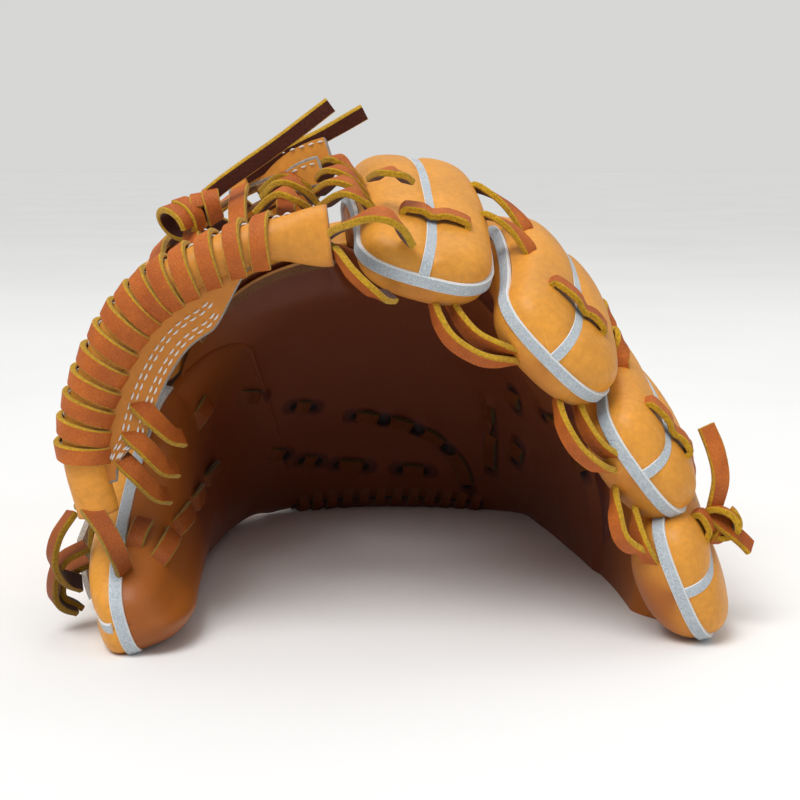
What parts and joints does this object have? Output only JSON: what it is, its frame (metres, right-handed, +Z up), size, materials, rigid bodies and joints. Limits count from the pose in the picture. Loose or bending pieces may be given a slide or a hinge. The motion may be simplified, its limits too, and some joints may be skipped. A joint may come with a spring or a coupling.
{
  "type": "baseball glove",
  "caption": "Fielder's baseball glove for the left hand, lying palm down: padded palm, laced finger and thumb stalls, and a laced web between thumb and index finger.",
  "frame": {"origin": "on the table, at the middle of the glove's bounding box", "axes": "+X to the little finger, -Y to the fingertips, +Z up from the table"},
  "size_m": [0.2672, 0.2716, 0.2039],
  "materials": {
    "shell_leather": "smooth tan orange steerhide with a fine grain, slightly waxed",
    "trim_leather": "thin tan leather, grey suede at the cut edges",
    "lace_leather": "red brown oiled rawhide lace with mustard cut edges",
    "welting": "pale grey split leather welting, fuzzy",
    "lining_leather": "soft thin lining leather",
    "felt": "pressed wool felt",
    "stiffener_board": "flexible plastic sheet"
  },
  "bodies": {
    "palm": {"heel_binding": "trim_leather", "heel_lace": "lace_leather", "knuckle_leather": "shell_leather", "palm_felt": "felt", "palm_lace": "lace_leather", "palm_leather": "shell_leather", "palm_lining": "lining_leather", "web_bar_facing": "trim_leather", "web_base": "shell_leather", "web_crosspiece": "shell_leather", "web_lace": "lace_leather", "web_lace_knot": "lace_leather", "web_post": "shell_leather", "web_top_bar": "shell_leather", "web_top_lace": "lace_leather", "wrist_binding": "trim_leather", "wrist_strap": "shell_leather", "wrist_strap_pad": "felt"},
    "thumb_side": {"thumb_back_inner_half": "shell_leather", "thumb_back_outer_half": "shell_leather", "thumb_front_leather": "shell_leather", "thumb_heel_pad": "felt", "thumb_lace": "lace_leather", "thumb_loop": "trim_leather", "thumb_stiffener": "stiffener_board", "thumb_tab": "trim_leather", "thumb_welting": "welting"},
    "little_finger_side": {"side_back_leather": "shell_leather", "side_heel_pad": "felt", "side_lace": "lace_leather", "side_lining": "lining_leather", "side_palm_leather": "shell_leather"},
    "index_finger": {"index_back_little_half": "shell_leather", "index_back_thumb_half": "shell_leather", "index_front_leather": "shell_leather", "index_pad": "felt", "index_tip_lace": "lace_leather", "index_welting": "welting"},
    "middle_finger": {"middle_back_little_half": "shell_leather", "middle_back_thumb_half": "shell_leather", "middle_front_leather": "shell_leather", "middle_pad": "felt", "middle_tip_lace": "lace_leather", "middle_welting": "welting"},
    "ring_finger": {"ring_back_little_half": "shell_leather", "ring_back_thumb_half": "shell_leather", "ring_front_leather": "shell_leather", "ring_pad": "felt", "ring_tip_lace": "lace_leather", "ring_welting": "welting"},
    "little_finger": {"little_back_little_half": "shell_leather", "little_back_thumb_half": "shell_leather", "little_front_leather": "shell_leather", "little_lace_knot": "lace_leather", "little_loop": "trim_leather", "little_pad": "felt", "little_tip_lace": "lace_leather", "little_welting": "welting"},
    "web_lace_ends_body": {"web_lace_ends": "lace_leather"},
    "little_lace_ends_body": {"little_lace_ends": "lace_leather"}
  },
  "joints": [
    {"name": "thumb_fold", "type": "hinge", "parent": "palm", "child": "thumb_side", "pos_m": [-0.08572, -0.01785, 0.09756], "axis": [-0.1514, -0.732, 0.6643], "range_deg": [0, 20], "stiffness_Nm_per_rad": 2},
    {"name": "little_side_fold", "type": "hinge", "parent": "palm", "child": "little_finger_side", "pos_m": [0.04105, 0.09299, 0], "axis": [-0.0712, 0.8564, -0.5114], "range_deg": [0, 10], "stiffness_Nm_per_rad": 2},
    {"name": "index_curl", "type": "hinge", "parent": "palm", "child": "index_finger", "pos_m": [-0.0046, -0.00648, 0.13136], "axis": [0.9966, 0, -0.0826], "range_deg": [0, 3], "stiffness_Nm_per_rad": 1},
    {"name": "middle_curl", "type": "hinge", "parent": "palm", "child": "middle_finger", "pos_m": [0.03368, -0.00939, 0.11151], "axis": [0.6579, -0.1207, -0.7434], "range_deg": [0, 3], "stiffness_Nm_per_rad": 1},
    {"name": "ring_curl", "type": "hinge", "parent": "little_finger_side", "child": "ring_finger", "pos_m": [0.06052, -0.01708, 0.07635], "axis": [0.5915, -0.2097, -0.7785], "range_deg": [0, 1.2], "stiffness_Nm_per_rad": 1},
    {"name": "little_curl", "type": "hinge", "parent": "little_finger_side", "child": "little_finger", "pos_m": [0.08022, -0.02746, 0.03351], "axis": [0.1716, -0.2118, -0.9621], "range_deg": [0, 4.5], "stiffness_Nm_per_rad": 1},
    {"name": "web_lace_swing", "type": "hinge", "parent": "palm", "child": "web_lace_ends_body", "pos_m": [-0.08258, -0.09606, 0.163], "axis": [0, -1, 0], "range_deg": [0, 20], "stiffness_Nm_per_rad": 0.02},
    {"name": "little_lace_swing", "type": "hinge", "parent": "little_finger", "child": "little_lace_ends_body", "pos_m": [0.12042, -0.10506, 0.043], "axis": [0, 1, 0], "range_deg": [-5, 10], "stiffness_Nm_per_rad": 0.02}
  ],
  "couplings": [
    {"joint": "middle_curl", "follows": "index_curl", "ratio": 1},
    {"joint": "ring_curl", "follows": "index_curl", "ratio": 0.4},
    {"joint": "little_curl", "follows": "index_curl", "ratio": 1.5}
  ]
}
